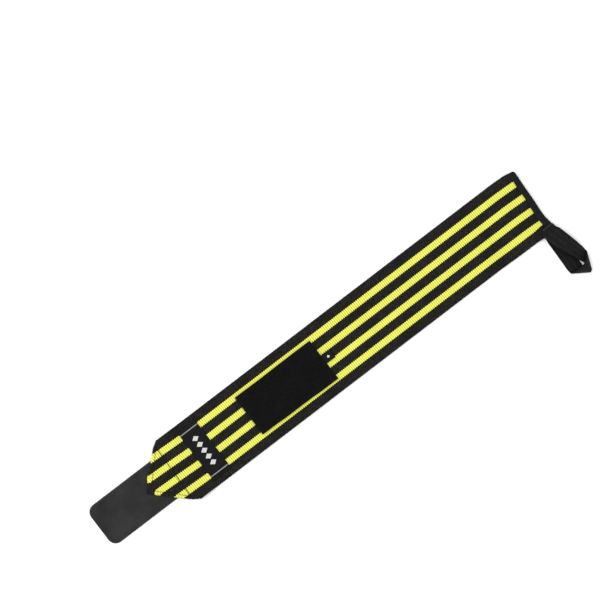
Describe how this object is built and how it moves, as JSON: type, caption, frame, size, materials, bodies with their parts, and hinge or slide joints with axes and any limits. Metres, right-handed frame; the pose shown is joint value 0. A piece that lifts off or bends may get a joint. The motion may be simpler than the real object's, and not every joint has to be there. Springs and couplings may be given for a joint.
{
  "type": "wrist wrap",
  "caption": "Long elastic support band lying open, with a folded point and hook tab at one end, a loop patch on its outer face and a tape thumb loop at the bound end.",
  "frame": {"origin": "under the band's centre line on its inner face, half way between the tab's end and the bound end", "axes": "+X along the band towards the bound end with the thumb loop, +Y towards the free corner of that end, +Z out of the outer face"},
  "size_m": [0.6077, 0.1446, 0.0113],
  "materials": {
    "elastic_webbing": "matt knitted elastic, black with yellow stripes",
    "hook_tape": "smooth dark grey tape, hooks on the inner face",
    "label_cloth": "fine satin weave",
    "loop_fleece": "brushed loops, matt",
    "tag_cloth": "fine satin weave",
    "binding_cloth": "plain woven tape"
  },
  "bodies": {
    "root": {"elastic_band": "elastic_webbing", "hook_tab": "hook_tape", "woven_label": "label_cloth", "loop_patch": "loop_fleece", "size_tag": "tag_cloth", "binding_tape": "binding_cloth"}
  },
  "joints": []
}
